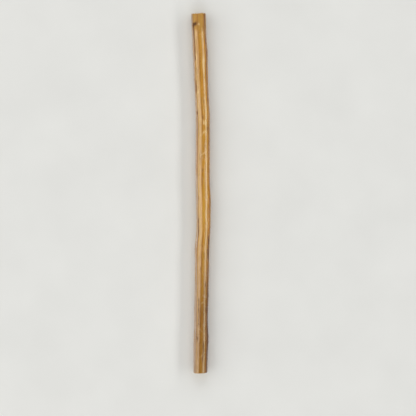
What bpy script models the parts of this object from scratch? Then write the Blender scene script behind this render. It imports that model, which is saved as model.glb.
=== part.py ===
"""A miswak stick: one cut length of root with its bark on, lying on its side.

The stick runs along Y and rests on Z = 0, with the middle of its box over the origin.
Lengths below are in millimetres. Angles go round the stick in degrees, from its top towards +X.
"""

import math

import bmesh
import bpy

MM = 0.001

# Driving dimensions
LENGTH = 180.0
DIAMETER = 7.0
RIM_ROUND = 0.3

# Fineness of the solid
SIDES = 40
RINGS = 104

# Sideways place of the middle line, as (distance along the stick, offset towards +X)
BOW = (
    (-90, -0.1), (-68, 0.2), (-46, 0.5), (-28, 0.75), (-19, 1.15), (-8, 1.2), (8, 0.9),
    (26, 0.95), (38, 0.9), (48, 0.45), (67, -0.3), (83, -1.0), (90, -1.3),
)

# Thickness, as (distance along the stick, share of the diameter)
GIRTH = (
    (-90, 1.0), (-73, 1.04), (-64, 0.96), (-46, 1.0), (-29, 1.01), (-19, 0.95), (-12, 1.0),
    (-3, 1.02), (8, 1.02), (26, 1.0), (38, 0.98), (57, 0.97), (67, 1.0), (78, 0.99), (90, 1.01),
)

# Long flutes, as (number round the stick, depth, turns along its length, angle of the first)
FLUTES = ((2, 0.07, 0.10, 35), (3, 0.06, -0.16, 100), (5, 0.08, 0.14, 8), (7, 0.05, -0.12, 60))

# Low swellings where side roots grew, as (distance along, angle, height, length, breadth in degrees)
SWELLINGS = (
    (-3.5, 74, 0.30, 6.5, 34),
    (-17, 82, 0.30, 6.0, 32),
    (-27, -80, 0.26, 6.5, 36),
    (-33, 150, 0.24, 5.0, 28),
    (-58, -118, 0.28, 5.5, 30),
    (-73, 60, 0.22, 5.0, 34),
    (14, -140, 0.26, 5.0, 28),
    (39, 118, 0.24, 5.5, 30),
    (58, -84, 0.16, 7.0, 36),
    (70, 70, 0.20, 6.0, 34),
)

# Flatter strip under the stick: its depth, and its spread in degrees
BELLY_DEPTH = 0.18
BELLY_SPREAD = 14.0

# Low knots under the stick, on which it lies, as (distance along, angle), and their size
KNOTS = ((-76, 204), (-2, 156), (76, 202))
KNOT_HEIGHT = 0.22
KNOT_LENGTH = 5.0
KNOT_SPREAD = 13.0

# Slant of the two cut faces: rise across the face, the angle of its longest side, and its fade
CUTS = {1: (0.10, 150.0), -1: (0.07, -40.0)}
CUT_FADE = 8.0

WOOD_COLOUR = (0.479, 0.238, 0.055, 1.0)
WOOD_ROUGHNESS = 0.45
SMOOTH_UNDER = math.radians(35)

HALF = LENGTH / 2


def clear_scene():
    for item in list(bpy.data.objects):
        bpy.data.objects.remove(item, do_unlink=True)


def on_curve(stations, along):
    """The value at one place, on a smooth curve through the stations."""
    last = len(stations) - 1
    step = max(i for i in range(last) if i == 0 or stations[i][0] <= along)
    places = [stations[min(max(step + k, 0), last)] for k in (-1, 0, 1, 2)]
    (x0, v0), (x1, v1), (x2, v2), (x3, v3) = places
    span = x2 - x1
    share = min(max((along - x1) / span, 0.0), 1.0)
    slope_in = (v2 - v0) / (x2 - x0) * span
    slope_out = (v3 - v1) / (x3 - x1) * span
    square, cube = share**2, share**3
    return (
        (2 * cube - 3 * square + 1) * v1
        + (cube - 2 * square + share) * slope_in
        + (3 * square - 2 * cube) * v2
        + (cube - square) * slope_out
    )


def turn_between(angle, other):
    """The smaller angle between two directions round the stick."""
    return (angle - other + 180) % 360 - 180


def hump(distance, spread):
    """One at no distance, falling softly to nothing."""
    return math.exp(-((distance / spread) ** 2))


def radius(along, angle):
    """Distance from the middle line to the bark."""
    reach = DIAMETER / 2 * on_curve(GIRTH, along)
    for count, depth, turns, first in FLUTES:
        drift = 360 * turns * along / LENGTH
        reach += depth * math.cos(math.radians(count * (angle - first - drift)))
    for place, side, height, length, breadth in SWELLINGS:
        reach += height * hump(along - place, length) * hump(turn_between(angle, side), breadth)
    for place, side in KNOTS:
        nearness = hump(along - place, KNOT_LENGTH) * hump(turn_between(angle, side), KNOT_SPREAD)
        reach += KNOT_HEIGHT * nearness
    return reach - BELLY_DEPTH * hump(turn_between(angle, 180), BELLY_SPREAD)


def cut_back(along, x, z):
    """How far a point is drawn back because the near end is cut on a slant."""
    end = 1 if along > 0 else -1
    slant, side = CUTS[end]
    towards = x * math.sin(math.radians(side)) + z * math.cos(math.radians(side))
    nearness = max(0.0, 1 - (HALF - abs(along)) / CUT_FADE)
    return -end * nearness * slant * (DIAMETER / 2 - towards)


def ring(along, trim=0.0):
    """The points of one cross-section. Between the knots its underside is a little above the ground."""
    section = []
    for k in range(SIDES):
        angle = 360 * k / SIDES
        reach = radius(along, angle) - trim
        section.append((reach * math.sin(math.radians(angle)), reach * math.cos(math.radians(angle))))
    aside = on_curve(BOW, along)
    lift = KNOT_HEIGHT * (1 - sum(hump(along - place, KNOT_LENGTH) for place, side in KNOTS))
    raised = lift + trim - min(z for x, z in section)
    return [(aside + x, along + cut_back(along, x, z), raised + z) for x, z in section]


def stick_rings():
    """Cross-sections from one cut face to the other, with a small round at each rim."""
    barked = HALF - RIM_ROUND
    places = [barked * (2 * i / (RINGS - 1) - 1) for i in range(RINGS)]
    return [ring(-HALF, RIM_ROUND)] + [ring(along) for along in places] + [ring(HALF, RIM_ROUND)]


def centred(rings):
    """The same points in metres, with the middle of their box over the origin and the base on Z = 0."""
    points = [point for one in rings for point in one]
    lows = [min(point[axis] for point in points) for axis in range(3)]
    highs = [max(point[axis] for point in points) for axis in range(3)]
    origin = [(lows[0] + highs[0]) / 2, (lows[1] + highs[1]) / 2, lows[2]]
    return [[[(v - o) * MM for v, o in zip(point, origin)] for point in one] for one in rings]


def close_end(mesh, loop):
    """A flat cut face over the last ring, as a fan round its middle."""
    middle = [sum(vertex.co[axis] for vertex in loop) / SIDES for axis in range(3)]
    centre = mesh.verts.new(middle)
    for k, vertex in enumerate(loop):
        mesh.faces.new((vertex, loop[(k + 1) % SIDES], centre))


def build_stick():
    mesh = bmesh.new()
    loops = [[mesh.verts.new(point) for point in one] for one in centred(stick_rings())]
    for near, far in zip(loops, loops[1:]):
        for k in range(SIDES):
            after = (k + 1) % SIDES
            mesh.faces.new((near[k], far[k], far[after], near[after]))
    close_end(mesh, loops[0])
    close_end(mesh, loops[-1])
    bmesh.ops.recalc_face_normals(mesh, faces=mesh.faces)
    data = bpy.data.meshes.new("stick")
    mesh.to_mesh(data)
    mesh.free()
    data.shade_smooth()
    data.set_sharp_from_angle(angle=SMOOTH_UNDER)
    stick = bpy.data.objects.new("stick", data)
    bpy.context.scene.collection.objects.link(stick)
    return stick


def bark_material():
    material = bpy.data.materials.new("bark")
    material.use_nodes = True
    shader = material.node_tree.nodes["Principled BSDF"]
    shader.inputs["Base Color"].default_value = WOOD_COLOUR
    shader.inputs["Roughness"].default_value = WOOD_ROUGHNESS
    shader.inputs["Metallic"].default_value = 0.0
    return material


def main():
    clear_scene()
    stick = build_stick()
    stick.data.materials.append(bark_material())


main()
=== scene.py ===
"""The looks of a miswak stick: its fine bark, cut faces and loose fibres, with the light and the camera.

The stick lies along Y on Z = 0. Lengths are in millimetres, and MM turns them into metres.
"Along" is the place along the stick, 0 at its middle. "Angle" goes round it in degrees, from its
top towards +X, and "round" is the same way as a length on the bark.
"""

import math
import random

import bmesh
import bpy
import numpy as np
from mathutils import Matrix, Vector, noise
from mathutils.bvhtree import BVHTree


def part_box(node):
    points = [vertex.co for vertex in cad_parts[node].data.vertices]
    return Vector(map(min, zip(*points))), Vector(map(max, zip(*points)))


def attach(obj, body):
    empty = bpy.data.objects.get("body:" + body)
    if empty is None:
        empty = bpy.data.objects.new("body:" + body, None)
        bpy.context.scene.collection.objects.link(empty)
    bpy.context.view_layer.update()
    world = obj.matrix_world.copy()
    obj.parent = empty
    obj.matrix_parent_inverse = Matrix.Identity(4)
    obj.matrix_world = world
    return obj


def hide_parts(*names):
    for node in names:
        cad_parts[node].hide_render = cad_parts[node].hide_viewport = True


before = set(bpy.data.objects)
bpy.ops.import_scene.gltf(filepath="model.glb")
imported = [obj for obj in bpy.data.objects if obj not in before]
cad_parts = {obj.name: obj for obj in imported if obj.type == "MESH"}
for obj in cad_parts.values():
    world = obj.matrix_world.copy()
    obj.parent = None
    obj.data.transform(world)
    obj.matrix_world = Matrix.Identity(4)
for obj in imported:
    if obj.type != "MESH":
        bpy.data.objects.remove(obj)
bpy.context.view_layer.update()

MM = 0.001
SOLID = "stick"

# The stick's box, from the frame
LOW, HIGH = (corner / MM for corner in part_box(SOLID))
LENGTH = HIGH.y - LOW.y
HALF = LENGTH / 2
THICKNESS = HIGH.z - LOW.z
GIRTH = math.pi * THICKNESS

# Fineness of the bark's mesh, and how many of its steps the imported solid's facets are smoothed over
ALONG = 620
AROUND = 144
SMOOTH_ALONG = 4
SMOOTH_ROUND = 2

# The cut ends: the bark's rounded rim, how far along the stick a slanted cut is felt, how near to it
# the solid is measured, and how far a face is turned to the end if it belongs to the cut
RIM = 0.16
RIM_STEPS = 3
CUT_FADE = 8.0
CLEAR_OF_CUT = 1.4
FACING_END = 0.95

# Loops over a cut face, and how their points thin out towards its middle: while a loop's share of the
# reach is over the first number, it has one point for so many of the rim's
FACE_STEPS = 26
THINNED = ((0.25, 1), (0.15, 2), (0.08, 4), (0.0, 8))

# The places of the two materials on the stick's mesh
BARK, CUT = 0, 1

# Where the wood ends on a cut face, as a share of its reach, with the groove there: breadth and depth
WOOD_EDGE = 0.845
GROOVE = (0.03, 0.07)

# Torn wood on a cut face, as (height, fineness), with the blade's steps: height and radians to the
# millimetre, their direction on the face and how much they waver. The two faces cut the pattern so
# far apart.
TORN_WOOD = ((0.070, 2.2), (0.060, 6.5))
BLADE_STEPS = (0.022, 4.2)
BLADE_HEADING = (0.8, 0.6)
BLADE_WAVER = 2
FACES_APART = 3.0

# The other edges on a cut face as shares of its reach: the pith's, from inside to outside, and the
# corky outer bark's. Then how soft the wood's edge and that one look, and how far all of them stray.
PITH = (0.03, 0.11)
CORK_EDGE = 0.96
WOOD_EDGE_SOFT = 0.01
CORK_EDGE_SOFT = 0.015
EDGES_STRAY = 0.015

# Growth rings on a cut face, as radians from middle to edge, and rays, in shares of its reach
RING_RADIANS = 46.0
RAY_BREADTH = 0.06
RAY_LENGTH = 0.6

# Drying cracks in each cut face, as (angle, share of the reach that they get to, depth). They are
# darkest from so deep.
DRYING_CRACKS = {
    1: ((34, 0.8, 0.16), (163, 0.5, 0.12), (262, 0.66, 0.14)),
    -1: ((78, 0.6, 0.13), (205, 0.82, 0.16)),
}
CRACK_BREADTH = 0.11
DARK_CRACK = 0.12

# Loose fibres at each end: how many, their sizes, how deep they root, how they crowd outwards and how
# near to the rim they get, then how far they lean out and sway, and how much they taper
FIBRES = 150
FIBRE_SIDES = 4
FIBRE_STEPS = 4
FIBRE_LENGTH = (0.2, 0.8)
FIBRE_THICKNESS = (0.05, 0.12)
FIBRE_ROOT = 0.15
FIBRE_CROWDING = 0.35
FIBRE_REACH = 0.97
FIBRE_LEAN = (-0.2, 0.7)
FIBRE_SWAY = (0.1, 0.6)
FIBRE_TAPER = 0.75

# Colours, some of which paint highlight, shade and a greyish reflection on the bark
GOLD = "CB9730"
ORANGE = "C4882A"
STRAW = "CFA56A"
BROWN = "84501C"
MAUVE = "C4AB95"
FURROW_AND_PORE_BROWN = "A0661A"
AMBER = "CA8800"
ROSE = "D8A478"
RUSSET = "865200"
UMBER = "583200"
CORK = "7C5530"
PALE = "F8D898"
CREAM = "EAD8AE"
HONEY = "CFAE72"
TAN = "B28A55"
DUSKY = "B4AEA8"
FLOOR = "E4E4E0"
FLOOR_DEEPER = "E0E0DC"

# Fine patterns in the bark, as (breadth, length): its fibres, hairs and flecks, how its dull bands and
# its golden ground change, and its hairline cracks with the patches that they come in
BARK_FIBRE = (0.22, 7)
BARK_HAIR = (0.07, 2.6)
BARK_FLECK = (0.5, 1.6)
BARK_PATCH = (0.7, 9)
BARK_GROUND = (1.3, 26)
HAIRLINE = (0.4, 16)
HAIRLINE_PATCH = (2.5, 10)

# Fine patterns in the cut wood: torn fibre, pores, and where these are wider. Then in the loose
# fibres and in the floor.
TORN_FIBRE = (0.3, 3)
PORE = (0.2, 4)
PORE_PATCH = (1.1, 4)
STRAW_STREAK = (0.1, 0.6)
FLOOR_MOTTLE = (30, 30)

# How deep the fine relief of these patterns looks
FINE_RELIEF = {
    "fibre": 0.01, "hair": 0.006, "hairline": 0.015, "torn": 0.08, "pore": 0.05, "straw": 0.01,
    "mottle": 0.01,
}

# The range that nearly all of a noise pattern lies in
USUAL = (0.3, 0.7)

# The side of the floor, and the light: each panel as (name, degrees from overhead, heading from +Y
# to +X, distance, width, height, watts)
FLOOR_SIDE = 4000
PANELS = (
    ("left_panel", 54, -90, 800, 1500, 600, 4.0),
    ("right_strip", 56, 90, 800, 1500, 140, 3.1),
    ("far_panel", 50, 0, 1000, 900, 500, 3.5),
    ("near_panel", 50, 180, 1000, 900, 500, 3.5),
)
SKY_STRENGTH = 0.19

# The camera: what it sees is so wide, with its middle there, in millimetres
PICTURE = 208.0
PICTURE_MIDDLE = (3.5, -7.5)
CAMERA_HEIGHT = 900.0
SENSOR = 36.0

# The grid that the bark's marks are worked out on, and the bark's millimetres to the degree
PLACES = np.linspace(-HALF, HALF, ALONG)[:, None]
ANGLES = np.linspace(0, 360, AROUND, endpoint=False)[None, :]
ROUND_PER_DEGREE = GIRTH / 360

# The two broad pale streaks on top, painted highlight, by (along, angle, how bright their core is) stations
LEFT_STREAK = (
    (-90, -28, 0.35), (-60, -27, 0.35), (-40, -24, 0.3), (-28, -20, 0.25), (-22, -22, 0.25),
    (-14, -28, 0.25), (6, -27, 0.25), (12, -25, 0.25), (36, -25, 0.25), (42, -27, 0.25),
    (60, -29, 0.1), (72, -29, 0.05), (80, -28, 0.2), (90, -28, 0.2),
)
RIGHT_STREAK = (
    (-90, 26, 1.1), (-72, 26, 1.0), (-62, 30, 1.2), (-40, 31, 1.0), (-27, 36, 1.35), (-19, 34.5, 1.35),
    (-15, 33, 1.3), (-12, 26.5, 1.05), (-8, 27, 1.1), (-3, 31, 1.25), (3, 32, 1.25), (8, 35, 1.15),
    (15, 35, 1.15), (22, 32, 1.25), (29, 32, 0.7), (33, 31, 1.0), (36, 28, 1.35), (42, 33, 1.4),
    (47, 29, 0.95), (54, 32, 0.8), (59, 28, 0.75), (64, 26, 1.0), (69, 28, 0.45), (74, 26, 0.65),
    (79, 28, 0.85), (90, 28, 0.8),
)

# Both, as (stations, breadth, degrees from its middle to its pinkish side), and their drift in degrees
STREAKS = ((LEFT_STREAK, 2.2, 8), (RIGHT_STREAK, 1.18, -6))
STREAK_DRIFT = 0.5

# The brighter core of each streak's painted highlight, degrees past its middle and as a share of its
# breadth, its pinkish side's breadth and how slowly that changes, and the drift of both
CORE_PAST = 1
CORE_SHARE = 0.8
ROSE_BREADTH = 0.8
ROSE_UNEVEN = 14.0
SIDE_DRIFT = 0.8

# The amber line just outside the right streak: degrees past its middle, and breadth
AMBER_LINE = (13.7, 1.1)

# The darker flanks below the streaks, by (along, angle, strength) stations: painted shade, brown on one
# side, and painted shade under a greyish painted reflection on the other
BROWN_SHADE_FLANK = (
    (-90, 60, 1.7), (-64, 60, 1.7), (-34, 57, 1.3), (-26, 56, 1.6), (-20, 56, 1.3), (-15, 61, 0.8),
    (0, 64, 0.75), (12, 63, 1.0), (42, 62, 1.0), (47, 59, 1.35), (51, 58, 1.8), (62, 57, 1.8),
    (66, 57, 1.35), (85, 57, 1.35), (90, 57, 1.2),
)
GREY_SHEEN_FLANK = (
    (-90, -64, 1.4), (-60, -64, 1.4), (-24, -64, 1.0), (0, -62, 1.15), (40, -62, 1.15),
    (60, -66, 1.15), (90, -68, 1.1),
)
FLANK_BREADTH = 2.0
FLANK_DRIFT = 1.0

# The bark is darker towards the near end, by (along, angle of its darkest side, strength) stations,
# and by this much less on its other side
DUSK = ((-90, 62, 1.0), (-60, 62, 1.0), (-44, 62, 0.65), (-28, 70, 0.1), (-20, 75, 0.0), (90, 80, 0.0))
DUSK_LESS = 0.85

# Rougher bark with painted shade near the far end, where no highlight is painted, starts here, over so long
# a change
DULL_SHADE_FROM = 81.2
DULL_SHADE_FADE = 1.2

# Pale lines along the bark, as (angle, breadth, strength, drift in degrees)
PALE_LINES = (
    (84, 1.0, 0.5, 4), (113, 2.0, 0.9, 5), (152, 0.9, 0.7, 5),
    (-84, 0.9, 0.4, 4), (-114, 1.8, 0.9, 5), (-152, 1.0, 0.7, 5),
)

# Duller bands along the bark, brown and greyish, as (angle, breadth, strength, drift in degrees)
BROWN_BANDS = ((134, 1.5, 0.8, 4.0), (-172, 1.3, 0.6, 4.0), (-97, 1.3, 0.6, 3.0))
GREY_BANDS = ((97, 1.2, 0.7, 3.0), (-133, 1.4, 0.8, 4.0), (170, 1.0, 0.6, 3.0))

# A furrow beside each streak, as (streak, degrees past its middle, breadth, depth, drift in degrees)
STREAK_FURROWS = ((LEFT_STREAK, 21.5, 0.9, 0.1125, 1.0), (RIGHT_STREAK, 12.5, 0.6, 0.075, 1.0))

# More furrows along the bark, as (angle, breadth, depth, drift in degrees). All have painted shade in
# them, darkest from so deep.
FURROWS = (
    (-50, 0.5, 0.135, 1.5), (16, 0.4, 0.0375, 3), (94, 0.6, 0.09, 4), (132, 0.5, 0.09, 5),
    (171, 0.6, 0.075, 5), (-96, 0.6, 0.105, 4), (-133, 0.5, 0.075, 5), (-168, 0.5, 0.075, 5),
)
DARK_FURROW = 0.105

# Dark stretches along the bark, as (from, to, angle, breadth, drift in degrees, strength), those that
# the photograph shows first
STRETCHES = (
    (16.5, 26.0, 4, 1.8, 1.0, 0.12), (66.0, 81.0, -48, 0.9, 0.6, 0.75), (50.5, 56.0, -51, 0.9, 0.5, 0.8),
    (-3.6, -1.8, -44, 0.8, 0.2, 0.5), (-21.5, -12.4, -47, 1.1, 0.5, 0.75),
    (-30.0, -21.5, -52, 0.5, 0.5, 0.4), (-34.0, -22.0, 63, 1.5, 1.5, 1.0),
    (20.0, 47.0, -120, 0.6, 1.5, 0.7), (-60.0, -38.0, 160, 0.6, 1.6, 0.65),
    (-86.0, -66.0, 121, 0.8, 1.6, 0.6), (44.0, 71.0, 141, 0.6, 1.5, 0.7),
    (-50.0, -31.0, -95, 0.7, 1.5, 0.8), (-66.0, -52.0, -22, 0.5, 1.5, 0.5),
    (-84.0, -74.0, 20, 0.5, 1.5, 0.6),
)
STRETCH_BEND = 8.0
STRETCH_FADE = 0.6
STRETCH_UNEVEN = (4.0, 0.7)

# Dark spots, as (along, angle, length, breadth, lean in degrees, strength)
SPOTS = (
    (40.4, -50, 2.3, 1.0, 0, 1.1), (37.3, -1, 2.8, 0.6, 0, 0.45), (32.0, 44, 3.4, 1.2, 4, 0.5),
    (11.4, -1, 2.4, 0.8, 0, 0.4), (7.0, -3, 3.0, 0.8, 0, 0.25), (84.4, -38, 3.0, 1.7, 62, 1.4),
    (83.2, -50, 3.0, 1.0, 4, 0.6), (80.9, -50, 2.4, 0.8, 0, 0.5), (-46.0, 33, 2.4, 0.9, 0, 0.5),
    (-72.5, -33, 2.6, 1.0, 0, 0.6), (-38.0, -8, 2.4, 0.8, 0, 0.4), (-58.0, 48, 3.0, 1.0, 0, 0.5),
)

# Pale welts and worn spots, with spots of painted highlight on the streaks, as (along, angle, length,
# breadth, lean in degrees, strength)
WELTS_AND_GLINTS = (
    (35.2, 9, 4.4, 1.4, -48, 0.65), (29.9, 3, 3.6, 1.0, 48, 0.65), (19.7, 6, 3.6, 0.8, 52, 0.65),
    (50.5, -30, 3.6, 1.0, 30, 0.5), (84.2, -3, 1.3, 1.1, 0, 1.3), (64.5, 25, 7.0, 1.1, 0, 1.0),
    (64.0, -33, 5.0, 0.7, 0, 0.2), (43.0, -37, 5.0, 0.6, 3, 0.3), (30.5, 27, 1.6, 0.8, 0, 0.6),
    (68.5, -37, 4.0, 0.8, 0, 0.5), (42.5, 9, 9.0, 0.9, 0, 0.3), (-55.0, 5, 3.0, 0.8, 52, 0.6),
    (-68.0, -12, 2.6, 0.7, -46, 0.6), (-81.0, 10, 2.6, 0.8, 40, 0.5),
)

# Scars where rootlets broke off, as (along, angle, breadth). Round each is a lip, so far out and so
# broad as shares of the scar's breadth. It is longer along the stick, where distances count less.
SCARS = (
    (-33, 150, 1.5), (-58, -118, 1.7), (14, -140, 1.4), (39, 118, 1.5), (70, 96, 1.3), (-73, 84, 1.3),
    (-5, 104, 1.6), (-27, -96, 1.2), (58, -104, 1.0), (-80, -160, 1.2),
)
LIP_REACH = 0.75
LIP_BREADTH = 0.25
LIP_ALONG = 0.7

# Lenticels, the bark's small pores: how many, and their length and breadth
LENTICELS = 70
LENTICEL_SIZE = (1.1, 0.6)

# How slowly a long mark wanders, and how slowly and how sharply its strength changes
LINE_BEND = 30.0
LINE_UNEVEN = 22.0
UNEVEN_SHARPNESS = 1.5

# Seeds. Each random mark draws its own numbers, from SEED and where its kind starts below. The
# strength of a band or a stretch draws from so many seeds past its own, and the seed of a pattern of
# grain is given with its sizes.
SEED = 41
SEEDS = {
    "pale": 0, "furrow": 20, "furrow_depth": 70, "stretch": 200, "brown": 300, "grey": 400, "lenticel": 500,
    "streak": 600, "highlight_and_wear": 620, "highlight_strength": 640, "flank": 660, "rose": 680, "rose_strength": 690,
}
BAND_STRENGTH = 30
STRETCH_STRENGTH = 50

# The bark's grain, as (height, length, breadth, seed)
GRAINS = ((0.030, 34, 2.4, 102), (0.014, 14, 0.8, 103), (0.009, 7, 0.45, 107), (0.008, 0.9, 3.0, 104))

# Wrinkles and cracks run where a random pattern crosses zero, as (length, breadth, seed, lean), within
# so much of it. Cracks only open in patches.
WRINKLES = (30, 1.5, 101, 0.04)
WRINKLE_SPREAD = 0.22
CRACKS = (34, 1.1, 105, -0.02)
CRACK_SPREAD = 0.12
CRACK_PATCHES = (22, 7, 106)

# How high each kind of mark stands where it is strongest. Those below zero are sunk.
HEIGHTS = {
    "pale": 0.055, "welt_and_glint": 0.050, "lenticel": 0.045, "crack": -0.040, "lip": 0.09, "wrinkle": -0.045,
    "dark_line": -0.040, "dark_spot": -0.040, "pit": -0.16,
}

# How much each kind of mark darkens the bark, or bares the pale wood under it
STAINED = {"dark_line": 1.0, "dark_spot": 1.0, "lip": 0.35, "crack": 0.2}
BARED = {"pit": 0.6, "lenticel": 0.35}


def turn_between(angles, other):
    """The smaller angle between directions round the stick."""
    return (angles - other + 180) % 360 - 180


# Marks on the bark, each as a strength over the grid of places and angles


def grain(length, breadth, seed, lean=0.0):
    """Random relief, about one high, whose marks are so long and so broad."""
    draws = np.random.default_rng(SEED + seed)
    spectrum = np.fft.fft2(draws.standard_normal((ALONG, AROUND)))
    per_along = np.fft.fftfreq(ALONG, LENGTH / ALONG)[:, None]
    per_round = np.fft.fftfreq(AROUND, GIRTH / AROUND)[None, :]
    waves = (length * (per_along + lean * per_round)) ** 2 + (breadth * per_round) ** 2
    field = np.fft.ifft2(spectrum * waves * np.exp(-waves)).real
    return field / field.std()


def wander(length, seed):
    """A slow random drift along the stick, about one wide."""
    draws = np.random.default_rng(SEED + seed)
    waves = (length * np.fft.rfftfreq(ALONG, LENGTH / ALONG)) ** 2
    field = np.fft.irfft(np.fft.rfft(draws.standard_normal(ALONG)) * np.exp(-waves), ALONG)
    return ((field - field.mean()) / field.std())[:, None]


def hump(distance, spread):
    """One at no distance, falling softly to nothing."""
    return np.exp(-((distance / spread) ** 2))


def rise(value):
    """Nothing far below zero, one far above it, and a soft change between."""
    return (1 + np.tanh(value / 2)) / 2


# How far the outlines of the small marks stray, along the stick and round it
STRAY = (0.22 * grain(5, 3, 90), 0.12 * grain(6, 1.6, 91))

# How ragged the torn ends of the long marks are, along the stick, and their sides, round it
RAGGED = (0.55 * grain(4, 0.5, 92), 0.07 * grain(3, 0.8, 93))


def followed(stations):
    """The angle of a long mark all along the stick, and its strength."""
    places, angles, strengths = zip(*stations)
    return np.interp(PLACES, places, angles), np.interp(PLACES, places, strengths)


def spot(along, angle, length, breadth, lean=0.0):
    """One soft-edged mark, its length leaning so many degrees from the stick's own."""
    ahead = PLACES - along + STRAY[0]
    aside = turn_between(ANGLES, angle) * ROUND_PER_DEGREE + STRAY[1]
    turn = math.radians(lean)
    down = ahead * math.cos(turn) + aside * math.sin(turn)
    over = aside * math.cos(turn) - ahead * math.sin(turn)
    return hump(down, length / 2) * hump(over, breadth / 2)


def crossing(start, fade):
    """Nothing before a place along the stick, and one after it, with a ragged border."""
    return rise((PLACES - start + RAGGED[0]) / (fade / 4))


def lip_round(along, angle, breadth):
    """A soft ring round a scar."""
    ahead = (PLACES - along + STRAY[0]) * LIP_ALONG
    aside = turn_between(ANGLES, angle) * ROUND_PER_DEGREE + STRAY[1]
    return hump(np.hypot(ahead, aside) - breadth * LIP_REACH, breadth * LIP_BREADTH)


def line(angle, breadth, drift, seed, firmness=2):
    """A long mark at one angle, which wanders by so many degrees. A firmer one has crisper sides."""
    centre = angle + drift * wander(LINE_BEND, seed)
    aside = np.abs(turn_between(ANGLES, centre)) * ROUND_PER_DEGREE
    return np.exp(-((aside / (breadth / 2)) ** firmness))


def uneven(seed, length=LINE_UNEVEN, least=0.3):
    """A strength between least and one, which changes slowly along the stick."""
    return least + (1 - least) * rise(UNEVEN_SHARPNESS * wander(length, seed))


def stretch(start, stop, angle, breadth, drift, seed):
    """A line that runs from one place to another, with torn ends and uneven sides."""
    inside = crossing(start, STRETCH_FADE) * (1 - crossing(stop, STRETCH_FADE))
    middle = angle + drift * wander(STRETCH_BEND, seed)
    aside = np.abs(turn_between(ANGLES, middle)) * ROUND_PER_DEGREE + RAGGED[1]
    strength = uneven(seed + STRETCH_STRENGTH, *STRETCH_UNEVEN)
    return inside * strength * np.exp(-((aside / (breadth / 2)) ** 4))


def scatter(count, length, breadth, seed):
    """Small soft marks, all alike, at random places on the bark."""
    draws = np.random.default_rng(SEED + seed)
    places = zip(draws.uniform(-HALF, HALF, count), draws.uniform(0, 360, count))
    return sum(spot(along, angle, length, breadth) for along, angle in places)


def bands(rows, seed):
    """Long soft bands, each a little uneven along the stick."""
    total = 0
    for k, (angle, breadth, strength, drift) in enumerate(rows):
        band = strength * line(angle, breadth, drift, seed + k, firmness=4)
        total = total + band * uneven(seed + BAND_STRENGTH + k, least=0.6)
    return total


def pale_marks():
    """The pale lines, with the two streaks of painted highlight, and the streaks' brighter middles and
    pinkish sides.
    """
    pale = bands(PALE_LINES, SEEDS["pale"])
    highlight_and_wear = 0
    rose = 0
    for k, (stations, breadth, rose_past) in enumerate(STREAKS):
        middle, core_strength = followed(stations)
        pale = pale + line(middle, breadth, STREAK_DRIFT, SEEDS["streak"] + k, firmness=4)
        side = line(middle + rose_past, ROSE_BREADTH, SIDE_DRIFT, SEEDS["rose"] + k)
        rose = rose + side * uneven(SEEDS["rose_strength"] + k, ROSE_UNEVEN)
        core = line(middle + CORE_PAST, breadth * CORE_SHARE, SIDE_DRIFT, SEEDS["highlight_and_wear"] + k)
        highlight_and_wear = highlight_and_wear + core_strength * core * uneven(SEEDS["highlight_strength"] + k, least=0.85)
    return pale, highlight_and_wear, rose


def amber_mark():
    """The amber line. It has the second streak's seed, so that it wanders as that streak does."""
    past, breadth = AMBER_LINE
    middle, _ = followed(RIGHT_STREAK)
    return line(middle + past, breadth, STREAK_DRIFT, SEEDS["streak"] + 1, firmness=4)


def flank_mark(stations, seed):
    """A flank of painted shade, greyed by painted reflection on the one side, that follows its stations."""
    middle, strength = followed(stations)
    return strength * line(middle, FLANK_BREADTH, FLANK_DRIFT, seed, firmness=4)


def dusk_mark():
    """How much darker the bark is, most on its darkest side."""
    darkest_side, strength = followed(DUSK)
    return strength * (1 - DUSK_LESS * (1 - np.cos(np.radians(ANGLES - darkest_side))) / 2)


def furrow_marks():
    """How deep the furrows are, those beside the streaks among them."""
    beside = [(followed(stations)[0] + past, *sizes) for stations, past, *sizes in STREAK_FURROWS]
    return sum(
        depth * line(angle, breadth, drift, SEEDS["furrow"] + k) * uneven(SEEDS["furrow_depth"] + k)
        for k, (angle, breadth, depth, drift) in enumerate((*beside, *FURROWS))
    )


def small_marks():
    """The bark's smaller marks, by kind."""
    return {
        "welt_and_glint": sum(strength * spot(*place) for *place, strength in WELTS_AND_GLINTS),
        "lenticel": scatter(LENTICELS, *LENTICEL_SIZE, SEEDS["lenticel"]),
        "crack": hump(grain(*CRACKS), CRACK_SPREAD) * np.clip(grain(*CRACK_PATCHES), 0, 1),
        "lip": sum(lip_round(*scar) for scar in SCARS),
        "wrinkle": hump(grain(*WRINKLES), WRINKLE_SPREAD),
        "dark_line": sum(
            strength * stretch(*sizes, SEEDS["stretch"] + k)
            for k, (*sizes, strength) in enumerate(STRETCHES)
        ),
        "dark_spot": sum(strength * spot(*place) for *place, strength in SPOTS),
        "pit": sum(spot(along, angle, breadth, breadth) for along, angle, breadth in SCARS),
    }


def weighed(marks, shares):
    """Several kinds of mark added up, each by its share, between nothing and one."""
    return np.clip(sum(share * marks[kind] for kind, share in shares.items()), 0, 1)


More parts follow.
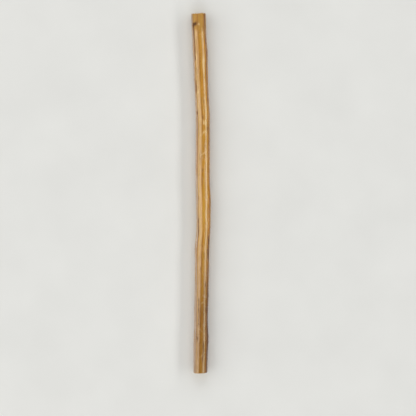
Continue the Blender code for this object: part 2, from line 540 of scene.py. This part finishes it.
def bark_marks():
    """The bark's relief, and the strength of each of its shades."""
    pale, highlight_and_wear, rose = pale_marks()
    furrow = furrow_marks()
    dull_and_shaded = crossing(DULL_SHADE_FROM, DULL_SHADE_FADE)
    dusk = dusk_mark()
    marks = {"pale": pale, **small_marks()}
    layers = [height * grain(length, breadth, seed) for height, length, breadth, seed in GRAINS]
    layers += [HEIGHTS[kind] * strength for kind, strength in marks.items()]
    shades = {
        # The pale streaks and their brighter cores are painted highlight, beside real pale lines and welts;
        # none is painted near the far end
        "pale": pale * (1 - dull_and_shaded),
        "highlight_and_wear": np.clip(highlight_and_wear * (1 - dull_and_shaded) + marks["welt_and_glint"], 0, 1),
        # Painted shade in the furrows, darkest where they are deepest
        "dark": furrow / DARK_FURROW,
        "amber": amber_mark(),
        "rose": np.clip(rose * (1 - dull_and_shaded) + dusk * pale, 0, 1),
        # The flanks in the brown and grey shades are painted shade, greyed by painted reflection on one
        # side, beside real bands
        "brown": flank_mark(BROWN_SHADE_FLANK, SEEDS["flank"]) + bands(BROWN_BANDS, SEEDS["brown"]),
        "grey": flank_mark(GREY_SHEEN_FLANK, SEEDS["flank"] + 1) + bands(GREY_BANDS, SEEDS["grey"]),
        "stain": weighed(marks, STAINED),
        "scar": weighed(marks, BARED),
        "dull_and_shaded": dull_and_shaded,
        "dusk": dusk,
    }
    return sum(layers) - furrow, shades


# The bark's shape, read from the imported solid


def packed_solid():
    """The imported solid, ready to be measured."""
    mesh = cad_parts[SOLID].data
    points = [vertex.co / MM for vertex in mesh.vertices]
    return BVHTree.FromPolygons(points, [tuple(face.vertices) for face in mesh.polygons])


def reach_of(solid, centre, angle):
    """Distance from a point inside the solid to its surface, square to the stick."""
    turn = math.radians(angle)
    *_, distance = solid.ray_cast(centre, Vector((math.sin(turn), 0, math.cos(turn))))
    return distance


def softened(values, spread, axis):
    """The values blurred along one axis. Past the stick's ends the last ones repeat. Round it they wrap."""
    steps = np.arange(-3 * spread, 3 * spread + 1)
    weights = hump(steps, spread)
    mode = "wrap" if axis == 1 else "edge"
    pads = [(0, 0)] * values.ndim
    pads[axis] = (3 * spread, 3 * spread)
    wide = np.pad(values, pads, mode=mode)
    count = values.shape[axis]
    parts = [w * np.take(wide, np.arange(k, k + count), axis) for k, w in enumerate(weights)]
    return sum(parts) / weights.sum()


def measured_form(solid):
    """The middle line's X and Z, and the reach from it to the solid's surface at each angle."""
    middles = np.zeros((ALONG, 2))
    reaches = np.zeros((ALONG, AROUND))
    inside = HALF - CLEAR_OF_CUT
    centre = Vector((0, 0, THICKNESS / 2))
    for row, place in enumerate(PLACES[:, 0]):
        centre.y = min(max(place, -inside), inside)
        # Twice, because the middle one way depends on the middle the other way
        for _ in range(2):
            right, left = reach_of(solid, centre, 90), reach_of(solid, centre, -90)
            centre.x += (right - left) / 2
            up, down = reach_of(solid, centre, 0), reach_of(solid, centre, 180)
            centre.z += (up - down) / 2
        middles[row] = centre.x, centre.z
        reaches[row] = [reach_of(solid, centre, angle) for angle in ANGLES[0]]
    middles = softened(middles, SMOOTH_ALONG, 0)
    return middles, softened(softened(reaches, SMOOTH_ALONG, 0), SMOOTH_ROUND, 1)


def cut_plane(end):
    """The flat cut at one end of the solid, as its middle and its outward normal."""
    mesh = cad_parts[SOLID].data
    flat = [face for face in mesh.polygons if face.normal.y * end > FACING_END]
    area = sum(face.area for face in flat)
    centre = sum((face.center * face.area for face in flat), Vector()) / area / MM
    normal = sum((face.normal * face.area for face in flat), Vector()).normalized()
    return centre, normal


def on_plane(plane, x, z):
    """The place along the stick where a plane is met."""
    centre, normal = plane
    return centre.y - (normal.x * (x - centre.x) + normal.z * (z - centre.z)) / normal.y


# The stick's mesh


def body_rings(middles, reaches, planes):
    """The bark's points, ring by ring from the low end to the high one."""
    turns = np.radians(ANGLES)
    x = middles[:, :1] + reaches * np.sin(turns)
    z = middles[:, 1:] + reaches * np.cos(turns)
    y = np.repeat(PLACES, AROUND, axis=1)
    for end, plane in planes.items():
        near = np.clip(1 - (HALF - end * PLACES) / CUT_FADE, 0, 1)
        y = y + near * (on_plane(plane, x, z) - end * (HALF + RIM))
    return np.stack([x, y, z], axis=2)


def rim_rings(ring, middle, end):
    """Rings that round the bark's edge over, from its last ring to the cut face."""
    centre = np.array([middle[0], 0, middle[1]])
    rings = []
    for step in range(1, RIM_STEPS + 1):
        turn = math.pi / 2 * step / RIM_STEPS
        inwards = centre - ring
        inwards[:, 1] = 0
        inwards /= np.linalg.norm(inwards, axis=1)[:, None]
        moved = ring + inwards * RIM * (1 - math.cos(turn))
        moved[:, 1] += end * RIM * math.sin(turn)
        rings.append(moved)
    return rings


def saw_relief(point, end):
    """Height of the cut face: torn fibre bundles and the blade's faint steps."""
    x, _, z = point
    place = Vector((x, z, FACES_APART * end))
    rise_of_step, waves = BLADE_STEPS
    across, up = BLADE_HEADING
    steps = rise_of_step * math.sin(waves * (x * across + z * up) + BLADE_WAVER * noise.noise(place))
    return sum(height * noise.noise(place * fineness) for height, fineness in TORN_WOOD) + steps


def crack_depths(share, angles, end):
    """How deep the drying cracks are along one loop of a cut face, with soft sides and thin tips."""
    depth = np.zeros(len(angles))
    for angle, reach, deepest in DRYING_CRACKS[end]:
        aside = np.abs(turn_between(angles, angle)) * ROUND_PER_DEGREE * share
        opened = math.sqrt(max(0.0, 1 - share / reach))
        depth += deepest * opened * hump(aside, CRACK_BREADTH)
    return depth


def face_loops(rim, end):
    """Loops of points over the cut face, from its edge in to its middle, with the cracks in each."""
    centre = rim.mean(axis=0)
    breadth, depth = GROOVE
    loops = []
    for step in range(1, FACE_STEPS):
        share = 1 - step / FACE_STEPS
        every = next(every for limit, every in THINNED if share > limit)
        loop = centre + share * (rim[::every] - centre)
        cracks = crack_depths(share, ANGLES[0][::every], end)
        rough = np.array([saw_relief(point, end) for point in loop])
        height = rough - depth * hump(share - WOOD_EDGE, breadth) - cracks
        # The outermost loop has half the relief, so that the rim isn't torn
        loop[:, 1] += end * min(1, step / 2) * height
        loops.append((share, loop, cracks))
    return loops, centre


class Shell:
    """Points, faces and values of one mesh, gathered loop by loop."""

    def __init__(self, labels=()):
        self.points, self.faces, self.slots = [], [], []
        self.values = {label: [] for label in labels}

    def loop(self, points, **values):
        """Adds a loop of points, with one value or one for each point under each label."""
        start = len(self.points)
        self.points.extend(tuple(point) for point in points)
        for label, numbers in self.values.items():
            numbers.extend(np.broadcast_to(values.get(label, 0.0), len(points)))
        return list(range(start, start + len(points)))

    def face(self, corners, slot):
        """Adds one face, with the place of its material."""
        self.faces.append(corners)
        self.slots.append(slot)

    def join(self, near, far, slot=0):
        """Faces between two loops. The second has as many points as the first, or half."""
        count = len(far)
        for k in range(count):
            after = (k + 1) % count
            if len(near) == count:
                self.face((near[k], near[after], far[after], far[k]), slot)
            else:
                first, second, third = near[2 * k], near[2 * k + 1], near[2 * after]
                self.face((first, second, far[k]), slot)
                self.face((second, far[after], far[k]), slot)
                self.face((second, third, far[after]), slot)

    def fan(self, loop, centre, slot=0):
        """Faces that close a loop at a point."""
        (middle,) = self.loop([centre])
        for k, index in enumerate(loop):
            self.face((index, loop[(k + 1) % len(loop)], middle), slot)

    def build(self, name, materials):
        """The mesh as an object in metres, with all its faces turned outwards."""
        data = bpy.data.meshes.new(name)
        data.from_pydata((np.array(self.points) * MM).tolist(), [], self.faces)
        data.polygons.foreach_set("material_index", self.slots)
        for label, numbers in self.values.items():
            data.attributes.new(label, "FLOAT", "POINT").data.foreach_set("value", numbers)
        work = bmesh.new()
        work.from_mesh(data)
        bmesh.ops.recalc_face_normals(work, faces=work.faces)
        work.to_mesh(data)
        work.free()
        data.shade_smooth()
        piece = bpy.data.objects.new(name, data)
        for material in materials:
            data.materials.append(material)
        bpy.context.scene.collection.objects.link(piece)
        return piece


def close_cut(shell, last, rim, end):
    """Closes one end with its cut face, from the last loop of its rim."""
    turns = np.radians(ANGLES[0])
    loops, centre = face_loops(rim, end)
    for share, points, cracks in loops:
        turned = turns[:: AROUND // len(points)]
        spokes = {"spoke_x": np.sin(turned), "spoke_z": np.cos(turned)}
        following = shell.loop(points, share=share, stain=cracks / DARK_CRACK, **spokes)
        shell.join(last, following, CUT)
        last = following
    shell.fan(last, centre, CUT)


def make_stick(materials):
    """The whole stick as one closed mesh, and the rim of each of its cut faces."""
    middles, reaches = measured_form(packed_solid())
    relief, shades = bark_marks()
    planes = {end: cut_plane(end) for end in (-1, 1)}
    rings = body_rings(middles, reaches + relief, planes)
    # Nothing reaches below what the stick lies on
    rings[:, :, 2] = np.maximum(rings[:, :, 2], 0.0)
    shell = Shell([*shades, "share", "spoke_x", "spoke_z"])
    row_shades = [{label: values[row] for label, values in shades.items()} for row in range(ALONG)]
    loops = [shell.loop(ring, share=1.0, **values) for ring, values in zip(rings, row_shades)]
    for near, far in zip(loops, loops[1:]):
        shell.join(near, far, BARK)
    rims = {}
    for end, row in ((-1, 0), (1, ALONG - 1)):
        last = loops[row]
        rounded = rim_rings(rings[row], middles[row], end)
        for ring in rounded:
            following = shell.loop(ring, share=1.0, **row_shades[row])
            shell.join(last, following, BARK)
            last = following
        rims[end] = rounded[-1]
        close_cut(shell, last, rims[end], end)
    return shell.build("stick_bark", materials), rims


# Loose fibres at the cut ends


def add_fibre(shell, root, heading, length, thickness, bend):
    """One tapered fibre that leaves its root along a heading and bends as it goes."""
    side = heading.orthogonal().normalized()
    other = heading.cross(side)
    last = None
    for step in range(FIBRE_STEPS + 1):
        share = step / FIBRE_STEPS
        centre = root + heading * (length * share) + bend * (length * share**2)
        radius = thickness / 2 * (1 - FIBRE_TAPER * share)
        corners = [
            centre + (side * math.cos(turn) + other * math.sin(turn)) * radius
            for turn in (2 * math.pi * k / FIBRE_SIDES for k in range(FIBRE_SIDES))
        ]
        following = shell.loop(corners)
        if last:
            shell.join(last, following)
        else:
            shell.fan(following, root)
        last = following
    shell.fan(last, centre + heading * radius)


def make_fibres(name, end, rim, material):
    """A scatter of short torn fibres over one cut face and round its edge."""
    draw = random.Random(SEED + end)
    shell = Shell()
    centre = Vector(rim.mean(axis=0))
    for _ in range(FIBRES):
        corner = Vector(rim[draw.randrange(AROUND)])
        share = draw.random() ** FIBRE_CROWDING
        root = centre.lerp(corner, share * FIBRE_REACH)
        outwards = (corner - centre).normalized()
        heading = Vector((0, end, 0)) + outwards * draw.uniform(*FIBRE_LEAN) * share
        length = draw.uniform(*FIBRE_LENGTH)
        sway = Vector((draw.uniform(-1, 1), 0, draw.uniform(-1, 1))) * draw.uniform(*FIBRE_SWAY)
        root -= Vector((0, end * FIBRE_ROOT, 0))
        thickness = draw.uniform(*FIBRE_THICKNESS)
        add_fibre(shell, root, heading.normalized(), length, thickness, sway)
    return shell.build(name, [material])


# Materials


def tint(code):
    """A colour from its usual six-digit code, as the shader takes it."""
    shares = [int(code[k:k + 2], 16) / 255 for k in (0, 2, 4)]
    return (*(v / 12.92 if v <= 0.04045 else ((v + 0.055) / 1.055) ** 2.4 for v in shares), 1.0)


class Surface:
    """A material whose nodes are added by short calls."""

    def __init__(self, name, values):
        self.material = bpy.data.materials.new(name)
        self.material.use_nodes = True
        self.tree = self.material.node_tree
        self.shader = self.tree.nodes["Principled BSDF"]
        for label, value in values.items():
            self.shader.inputs[label].default_value = value
        place = self.tree.nodes.new("ShaderNodeTexCoord")
        self.place = place.outputs["Object"]

    def node(self, kind, inputs, **settings):
        """Adds a shader node, with its settings and what goes into its sockets."""
        node = self.tree.nodes.new("ShaderNode" + kind)
        for label, value in settings.items():
            setattr(node, label, value)
        for label, value in inputs.items():
            self.feed(node.inputs[label], value)
        return node

    def feed(self, socket, value):
        """Links another node's output to a socket, or sets the value there."""
        if isinstance(value, bpy.types.NodeSocket):
            self.tree.links.new(value, socket)
        else:
            socket.default_value = value

    def mark(self, label):
        """A value that the mesh carries at its points."""
        return self.node("Attribute", {}, attribute_name=label).outputs["Fac"]

    def maths(self, operation, first, second=0.0):
        """One operation on one or two values."""
        return self.node("Math", {0: first, 1: second}, operation=operation).outputs[0]

    def times(self, first, *others):
        """The product of two or more values."""
        for other in others:
            first = self.maths("MULTIPLY", first, other)
        return first

    def plus(self, first, *others):
        """The sum of two or more values."""
        for other in others:
            first = self.maths("ADD", first, other)
        return first

    def between(self, value, low, high, to_low=0.0, to_high=1.0):
        """The value moved from one range to another, held inside it."""
        inputs = {"Value": value, "From Min": low, "From Max": high}
        inputs.update({"To Min": to_low, "To Max": to_high})
        return self.node("MapRange", inputs).outputs[0]

    def edge(self, value, place, softness):
        """Nothing before a place, and one after it."""
        return self.between(value, place - softness, place + softness)

    def mix(self, share, first, second, blend="MIX"):
        """The second colour over the first. Sockets of one name are told apart by number."""
        node = self.node("Mix", {}, data_type="RGBA", blend_type=blend)
        for index, value in ((0, share), (6, first), (7, second)):
            self.feed(node.inputs[index], value)
        return node.outputs[2]

    def stretched(self, breadth, length, place=None):
        """Places scaled so that a pattern's marks are so broad and so long."""
        scale = (1 / (breadth * MM), 1 / (length * MM), 1 / (breadth * MM))
        node = self.node("VectorMath", {0: place or self.place, 1: scale}, operation="MULTIPLY")
        return node.outputs[0]

    def noise(self, breadth, length, detail=3.0, roughness=0.5, twist=0.0, place=None):
        """A soft pattern round one half, nearly all of it inside USUAL."""
        inputs = {"Vector": self.stretched(breadth, length, place), "Scale": 1.0}
        inputs.update({"Detail": detail, "Roughness": roughness, "Distortion": twist})
        return self.node("TexNoise", inputs).outputs[0]

    def cells(self, breadth, length):
        """Distance from the middle of the nearest cell."""
        inputs = {"Vector": self.stretched(breadth, length), "Scale": 1.0}
        return self.node("TexVoronoi", inputs).outputs["Distance"]

    def bump(self, height, depth, normal=None):
        """Fine relief so many millimetres deep, on top of another."""
        inputs = {"Height": height, "Distance": depth * MM, "Strength": 1.0}
        if normal:
            inputs["Normal"] = normal
        return self.node("Bump", inputs).outputs[0]

    def layered(self, colour, layers):
        """The colour under layers of others, each as (share, colour code), the last on top."""
        for share, code in layers:
            colour = self.mix(share, colour, tint(code))
        return colour

    def finish(self, colour, roughness, normal):
        """Gives the shader what changes over the surface, and hands the material over."""
        self.feed(self.shader.inputs["Base Color"], colour)
        self.feed(self.shader.inputs["Roughness"], roughness)
        self.feed(self.shader.inputs["Normal"], normal)
        return self.material


def bark_hairlines(bark):
    """Hairline cracks in patches, where a pattern is near its middle."""
    ridge = bark.maths("ABSOLUTE", bark.maths("SUBTRACT", bark.noise(*HAIRLINE, detail=2), 0.5))
    patches = bark.between(bark.noise(*HAIRLINE_PATCH), 0.48, 0.58)
    return bark.times(bark.between(ridge, 0.0, 0.022, 1.0, 0.0), patches)


def bark_material():
    """Golden bark: streaks of painted highlight, flanks of painted shade and reflection, dark stains, fine
    lengthwise fibres, a satin skin.
    """
    bark = Surface("bark", {"IOR": 1.5, "Specular IOR Level": 0.75})
    fibre = bark.noise(*BARK_FIBRE, detail=5, roughness=0.6)
    hair = bark.noise(*BARK_HAIR, detail=3, roughness=0.6, twist=0.4)
    fleck = bark.cells(*BARK_FLECK)
    hairline = bark_hairlines(bark)
    patchy = bark.times(
        bark.between(bark.noise(*BARK_PATCH, detail=4), 0.35, 0.6, 0.4, 1.0),
        bark.between(fibre, 0.35, 0.62, 0.6, 1.2),
    )
    stain = bark.times(
        bark.mark("stain"),
        bark.between(fibre, 0.32, 0.6, 0.35, 1.25),
        bark.between(hair, 0.35, 0.65, 0.75, 1.15),
    )
    # Fine tone of the fibres, hairs and flecks, and painted shade near the far end
    shade = bark.times(
        bark.between(fibre, *USUAL, 0.84, 1.1),
        bark.between(hair, *USUAL, 0.88, 1.08),
        bark.between(fleck, 0.05, 0.22, 0.85, 1.0),
        bark.between(bark.mark("dull_and_shaded"), 0.0, 1.0, 1.0, 0.84),
    )
    dusk = bark.times(bark.mark("dusk"), bark.between(fibre, *USUAL, 1.0, 0.8))
    ground = bark.between(bark.noise(*BARK_GROUND), 0.35, 0.65)
    golden = bark.mix(ground, tint(ORANGE), tint(GOLD))
    colour = bark.layered(golden, (
        # Painted highlight: the pale streaks, their pinkish sides and brighter cores, over real pale lines
        # and welts
        (bark.times(bark.mark("pale"), bark.between(fibre, *USUAL, 0.6, 0.95)), STRAW),
        (bark.times(bark.mark("rose"), 0.7), ROSE),
        (bark.times(bark.mark("highlight_and_wear"), bark.between(fibre, *USUAL, 0.65, 1.0)), PALE),
        # Painted shade on the flanks, greyed by painted reflection on one side, over real brown and greyish
        # bands
        (bark.times(bark.mark("brown"), patchy), BROWN),
        (bark.times(bark.mark("grey"), patchy), MAUVE),
        (bark.times(bark.mark("amber"), 0.9), AMBER),
        # Painted shade in the furrows
        (bark.between(bark.mark("dark"), 0.1, 1.0, 0.0, 0.8), FURROW_AND_PORE_BROWN),
        (bark.between(stain, 0.0, 0.55), RUSSET),
        (bark.between(stain, 0.55, 1.0), UMBER),
        (bark.mark("scar"), STRAW),
        (bark.times(hairline, 0.55), UMBER),
    ))
    colour = bark.mix(1.0, colour, shade, "MULTIPLY")
    colour = bark.mix(dusk, colour, tint(DUSKY), "MULTIPLY")
    roughness = bark.plus(
        bark.between(fibre, *USUAL, 0.17, 0.3),
        bark.times(bark.mark("dull_and_shaded"), 0.3),
        bark.times(bark.mark("stain"), 0.35),
    )
    normal = bark.bump(fibre, FINE_RELIEF["fibre"])
    normal = bark.bump(hair, FINE_RELIEF["hair"], normal)
    normal = bark.bump(bark.maths("SUBTRACT", 1.0, hairline), FINE_RELIEF["hairline"], normal)
    return bark.finish(colour, roughness, normal)


def cut_material():
    """Cut wood: cream, porous and fibrous, with faint rays, inside a ring of darker bark."""
    wood = Surface("cut_wood", {"Specular IOR Level": 0.25})
    share = wood.mark("share")
    spoke = wood.node("CombineXYZ", {"X": wood.mark("spoke_x"), "Y": share, "Z": wood.mark("spoke_z")})
    rays = wood.noise(RAY_BREADTH / MM, RAY_LENGTH / MM, detail=2, place=spoke.outputs[0])
    torn = wood.noise(*TORN_FIBRE, detail=5, roughness=0.65)
    wavy = wood.plus(wood.times(share, RING_RADIANS), wood.between(rays, *USUAL, -2.0, 2.0))
    rings = wood.between(wood.maths("SINE", wavy), -0.2, 1.0)
    widest = wood.between(wood.noise(*PORE_PATCH), 0.35, 0.65, 0.16, 0.36)
    solid = wood.between(wood.cells(*PORE), 0.06, widest)
    # Places where the pith ends and the inner and outer bark begin, a little uneven
    strayed = wood.plus(share, wood.between(torn, *USUAL, -EDGES_STRAY, EDGES_STRAY))
    inner_bark = wood.edge(strayed, WOOD_EDGE, WOOD_EDGE_SOFT)
    outer_bark = wood.edge(strayed, CORK_EDGE, CORK_EDGE_SOFT)
    colour = wood.layered(tint(CREAM), (
        (wood.between(rays, 0.4, 0.62), HONEY),
        (wood.between(torn, 0.35, 0.7, 0.0, 0.45), STRAW),
        (wood.times(rings, 0.3), HONEY),
        (wood.between(strayed, *PITH, 0.6, 0.0), TAN),
        (wood.times(wood.maths("SUBTRACT", 1.0, solid), 0.6), FURROW_AND_PORE_BROWN),
        (wood.times(inner_bark, 0.75), TAN),
        (outer_bark, CORK),
        (wood.between(wood.mark("stain"), 0.1, 0.9, 0.0, 0.85), UMBER),
    ))
    normal = wood.bump(torn, FINE_RELIEF["torn"])
    normal = wood.bump(solid, FINE_RELIEF["pore"], normal)
    return wood.finish(colour, wood.between(torn, *USUAL, 0.7, 0.9), normal)


def fibre_material():
    """Loose fibres: dry straw."""
    straw = Surface("fibre", {"Specular IOR Level": 0.3})
    streak = straw.noise(*STRAW_STREAK)
    colour = straw.mix(straw.between(streak, 0.35, 0.65), tint(CREAM), tint(HONEY))
    normal = straw.bump(streak, FINE_RELIEF["straw"])
    return straw.finish(colour, straw.between(streak, *USUAL, 0.6, 0.8), normal)


def floor_material():
    """A pale, plain studio floor."""
    floor = Surface("floor", {"Specular IOR Level": 0.2})
    mottle = floor.noise(*FLOOR_MOTTLE, detail=2)
    colour = floor.mix(floor.between(mottle, *USUAL), tint(FLOOR), tint(FLOOR_DEEPER))
    normal = floor.bump(mottle, FINE_RELIEF["mottle"])
    return floor.finish(colour, floor.between(mottle, *USUAL, 0.8, 0.9), normal)


# Floor, light and camera


def make_floor():
    """A plain floor under the stick, which isn't part of it."""
    side = FLOOR_SIDE / 2 * MM
    corners = [(-side, -side, 0), (side, -side, 0), (side, side, 0), (-side, side, 0)]
    data = bpy.data.meshes.new("floor")
    data.from_pydata(corners, [], [(0, 1, 2, 3)])
    data.materials.append(floor_material())
    floor = bpy.data.objects.new("floor", data)
    bpy.context.scene.collection.objects.link(floor)


def add_panel(name, tilt, heading, distance, width, height, watts):
    """A soft light panel that faces the stick, tilted so far from overhead towards one side."""
    lamp = bpy.data.lights.new(name, "AREA")
    lamp.shape = "RECTANGLE"
    lamp.size, lamp.size_y = width * MM, height * MM
    lamp.energy = watts
    panel = bpy.data.objects.new(name, lamp)
    slope, turn = math.radians(tilt), math.radians(heading)
    away = Vector((math.sin(slope) * math.sin(turn), math.sin(slope) * math.cos(turn), math.cos(slope)))
    panel.location = away * distance * MM
    panel.rotation_euler = away.to_track_quat("Z", "Y").to_euler()
    bpy.context.scene.collection.objects.link(panel)


def light_scene():
    """Four soft panels, and a faint white sky."""
    for name, *numbers in PANELS:
        add_panel(name, *numbers)
    world = bpy.data.worlds.new("studio")
    world.use_nodes = True
    sky = world.node_tree.nodes["Background"]
    sky.inputs["Color"].default_value = (1, 1, 1, 1)
    sky.inputs["Strength"].default_value = SKY_STRENGTH
    bpy.context.scene.world = world
    bpy.context.scene.view_settings.view_transform = "Standard"


def add_camera():
    """Straight above, with the stick up the picture as in the photograph."""
    camera = bpy.data.cameras.new("camera")
    camera.sensor_width = SENSOR
    camera.lens = SENSOR * CAMERA_HEIGHT / PICTURE
    above = bpy.data.objects.new("camera", camera)
    above.location = Vector((*PICTURE_MIDDLE, CAMERA_HEIGHT + THICKNESS / 2)) * MM
    bpy.context.scene.collection.objects.link(above)
    bpy.context.scene.camera = above


def main():
    stick, rims = make_stick([bark_material(), cut_material()])
    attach(stick, "root")
    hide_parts(SOLID)
    straw = fibre_material()
    for end, name in ((-1, "near_end_fibres"), (1, "far_end_fibres")):
        fibres = make_fibres(name, end, rims[end], straw)
        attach(fibres, "root")
    make_floor()
    light_scene()
    add_camera()


main()
